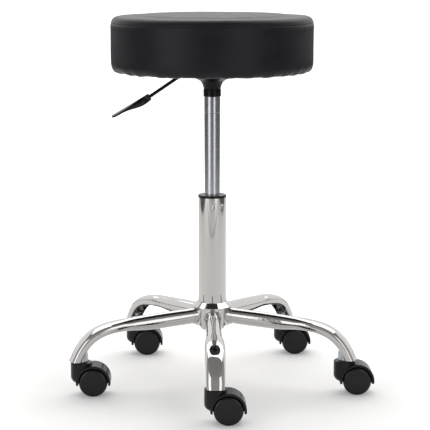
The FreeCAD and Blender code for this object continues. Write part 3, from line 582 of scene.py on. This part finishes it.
def make_dust_cloth():
    """Round cloth stapled under the board; it hangs slack between the plate and its edge."""
    segments = CLOTH_SEGMENTS
    radii = np.linspace(CLOTH_MIDDLE, CLOTH_RADIUS, CLOTH_RINGS)
    flat_to = PLATE_HIGH.x
    points = []
    for radius in radii:
        share = np.clip((radius - flat_to) / (STAPLE_RADIUS - flat_to), 0, 1)
        slack = math.sin(math.pi * share)
        for step in range(segments):
            angle = step * 2 * math.pi / segments
            ripple = 0.5 + 0.5 * math.cos(CLOTH_RIPPLES * angle)
            wave = noise.noise(Vector((math.cos(angle), math.sin(angle), share)) * SAG_WAVE_SCALE)
            drop = CLOTH_SAG * slack * (SAG_EVEN + SAG_WAVES * wave + SAG_RIPPLE * ripple)
            points.append((radius * math.cos(angle), radius * math.sin(angle),
                           CLOTH_HIGH.z - CLOTH_GAP - max(0, drop)))
    faces = []
    for ring in range(len(radii) - 1):
        for step in range(segments):
            after = (step + 1) % segments
            low, high = ring * segments, (ring + 1) * segments
            faces.append((low + after, low + step, high + step, high + after))
    cloth = mesh_object("dust_cloth_sheet", points, faces, "dust_cloth")
    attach(cloth, "seat")
    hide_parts("dust_cover")


make_dust_cloth()


# ---------------------------------------------------------------- studio

PAPER_HALF_WIDTH = 1.8
PAPER_FRONT = -2.15
PAPER_JOIN = -1.46
PAPER_JOIN_WIDTH = 0.03
BACKDROP_TOP = 0.62
ROOM_CEILING = 0.26
ROOM_FRONT = 0.42

# how softly the paper and the backdrop end in reflections, and how the floor looks
PAPER_SIDE_BLUR, PAPER_FRONT_BLUR, BACKDROP_BLUR = 0.05, 0.08, 0.12
PAPER_COLOR = (0.9, 0.893, 0.885, 1)
PAST_PAPER_COLOR = (0.17, 0.168, 0.165, 1)
GLOW_NEAR, GLOW_FAR, GLOW_LOW = 0.1, 1.4, 0.12
FLOOR_SEGMENTS, FLOOR_REACH = 96, 60
WHITE = (1, 1, 1, 1)

# the camera, fitted to the photo: metres, degrees, millimetres of sensor and lens
CAMERA_PLACE = (-0.0577, -2.5993, 0.7656)
CAMERA_TILT, CAMERA_TURN = 79.99, -1.38
CAMERA_SENSOR, CAMERA_LENS, CAMERA_REACH = 36, 123.8, 200

# soft boxes: width, height and brightness; the standing ones stand at this distance
OVERHEAD_PLACE, OVERHEAD_TARGET, OVERHEAD = (0.1, 1.15, 2.5), (0, 0.5, 0), (4.2, 2.8, 1.9)
STANDING_DISTANCE = 2.1
LEFT_TURN, LEFT_BOX = -44, (1.15, 1.7, 1.3)
RIGHT_TURN, RIGHT_BOX = 32, (0.8, 1.7, 1.2)


class Studio(Nodes):
    """Nodes of the floor's material and of the world."""

    def eased(self, value, start, end, low=0.0, high=1.0):
        sockets = {"Value": value, "From Min": start, "From Max": end, "To Min": low, "To Max": high}
        return self.node("MapRange", sockets, interpolation_type="SMOOTHSTEP").outputs["Result"]


def make_floor():
    """Pale floor; in reflections it ends where the paper that it stands for would."""
    material = bpy.data.materials.new("studio_floor")
    material.use_nodes = True
    studio = Studio(material.node_tree)
    shader = material.node_tree.nodes["Principled BSDF"]
    shader.inputs["Roughness"].default_value = 0.9
    shader.inputs["Specular IOR Level"].default_value = 0.0
    place = studio.node("TexCoord").outputs["Object"]
    parts = studio.node("SeparateXYZ", {0: place})
    path = studio.node("LightPath")
    beside = studio.eased(studio.math("ABSOLUTE", parts.outputs["X"]),
                          PAPER_HALF_WIDTH - PAPER_SIDE_BLUR, PAPER_HALF_WIDTH + PAPER_SIDE_BLUR)
    before = studio.eased(parts.outputs["Y"],
                          PAPER_FRONT + PAPER_FRONT_BLUR, PAPER_FRONT - PAPER_FRONT_BLUR)
    to_join = studio.math("ABSOLUTE", studio.math("SUBTRACT", parts.outputs["Y"], PAPER_JOIN))
    join = studio.eased(to_join, PAPER_JOIN_WIDTH, PAPER_JOIN_WIDTH * 0.3)
    dark = studio.math("MAXIMUM", studio.math("MAXIMUM", beside, before), join)
    dark = studio.math("MULTIPLY", dark, path.outputs["Is Glossy Ray"])
    tint = studio.node("Mix", {0: dark, 6: PAPER_COLOR, 7: PAST_PAPER_COLOR}, data_type="RGBA")
    material.node_tree.links.new(tint.outputs[2], shader.inputs["Base Color"])
    away = studio.node("VectorMath", {0: place}, operation="LENGTH").outputs["Value"]
    glow = studio.eased(away, GLOW_NEAR, GLOW_FAR, GLOW_LOW, 1.0)
    lit = studio.math("MULTIPLY", glow, path.outputs["Is Camera Ray"])
    material.node_tree.links.new(lit, shader.inputs["Emission Strength"])
    shader.inputs["Emission Color"].default_value = WHITE
    turns = [step * 2 * math.pi / FLOOR_SEGMENTS for step in range(FLOOR_SEGMENTS)]
    rim = [(FLOOR_REACH * math.cos(turn), FLOOR_REACH * math.sin(turn), 0) for turn in turns]
    floor = mesh_object("studio_floor", rim, [tuple(range(FLOOR_SEGMENTS))], None)
    floor.data.materials.append(material)


def make_soft_box(name, place, target, width, height, brightness):
    """Soft box: a rectangular area light of an even brightness, facing a point."""
    data = bpy.data.lights.new(name, "AREA")
    data.shape = "RECTANGLE"
    data.size, data.size_y = width, height
    data.energy = brightness * math.pi * width * height
    light = bpy.data.objects.new(name, data)
    light.location = place
    light.rotation_euler = (Vector(target) - Vector(place)).to_track_quat("-Z", "Y").to_euler()
    light.visible_camera = False
    bpy.context.scene.collection.objects.link(light)


def make_standing_box(name, turn, distance, width, height, brightness):
    """Soft box standing on the floor, at an angle to the camera's side."""
    middle = Vector((math.sin(math.radians(turn)) * distance,
                     -math.cos(math.radians(turn)) * distance, height / 2))
    make_soft_box(name, middle, (0, 0, height / 2), width, height, brightness)


def make_surroundings():
    """Room light: a white backdrop behind, a dark ceiling, a dim room on the camera's side."""
    world = bpy.data.worlds.new("studio")
    bpy.context.scene.world = world
    world.use_nodes = True
    studio = Studio(world.node_tree)
    parts = studio.node("SeparateXYZ", {0: studio.node("TexCoord").outputs["Generated"]})
    behind = studio.eased(parts.outputs["Y"], -0.05, 0.35)
    backdrop = studio.math("MULTIPLY", behind,
                           studio.eased(parts.outputs["Z"], BACKDROP_TOP + BACKDROP_BLUR, BACKDROP_TOP))
    ahead = studio.eased(parts.outputs["Y"], 0.3, 0.0, 0.15, 1.0)
    front = studio.math("MULTIPLY", ahead,
                        studio.eased(parts.outputs["Z"], 0.9, 0.3, ROOM_CEILING, ROOM_FRONT))
    total = studio.math("MAXIMUM", backdrop, front)
    seen = studio.node("LightPath").outputs["Is Camera Ray"]
    strength = studio.math("MAXIMUM", total, seen)
    background = world.node_tree.nodes["Background"]
    world.node_tree.links.new(strength, background.inputs["Strength"])
    background.inputs["Color"].default_value = WHITE


def make_camera():
    """The place that the photo was taken from."""
    data = bpy.data.cameras.new("camera")
    data.sensor_width = CAMERA_SENSOR
    data.lens = CAMERA_LENS
    data.clip_end = CAMERA_REACH
    camera = bpy.data.objects.new("camera", data)
    camera.location = CAMERA_PLACE
    camera.rotation_euler = (math.radians(CAMERA_TILT), 0, math.radians(CAMERA_TURN))
    bpy.context.scene.collection.objects.link(camera)
    bpy.context.scene.camera = camera


make_floor()
make_surroundings()
make_soft_box("overhead", OVERHEAD_PLACE, OVERHEAD_TARGET, *OVERHEAD)
make_standing_box("standing_left", LEFT_TURN, STANDING_DISTANCE, *LEFT_BOX)
make_standing_box("standing_right", RIGHT_TURN, STANDING_DISTANCE, *RIGHT_BOX)
make_camera()
bpy.context.scene.view_settings.view_transform = "Standard"
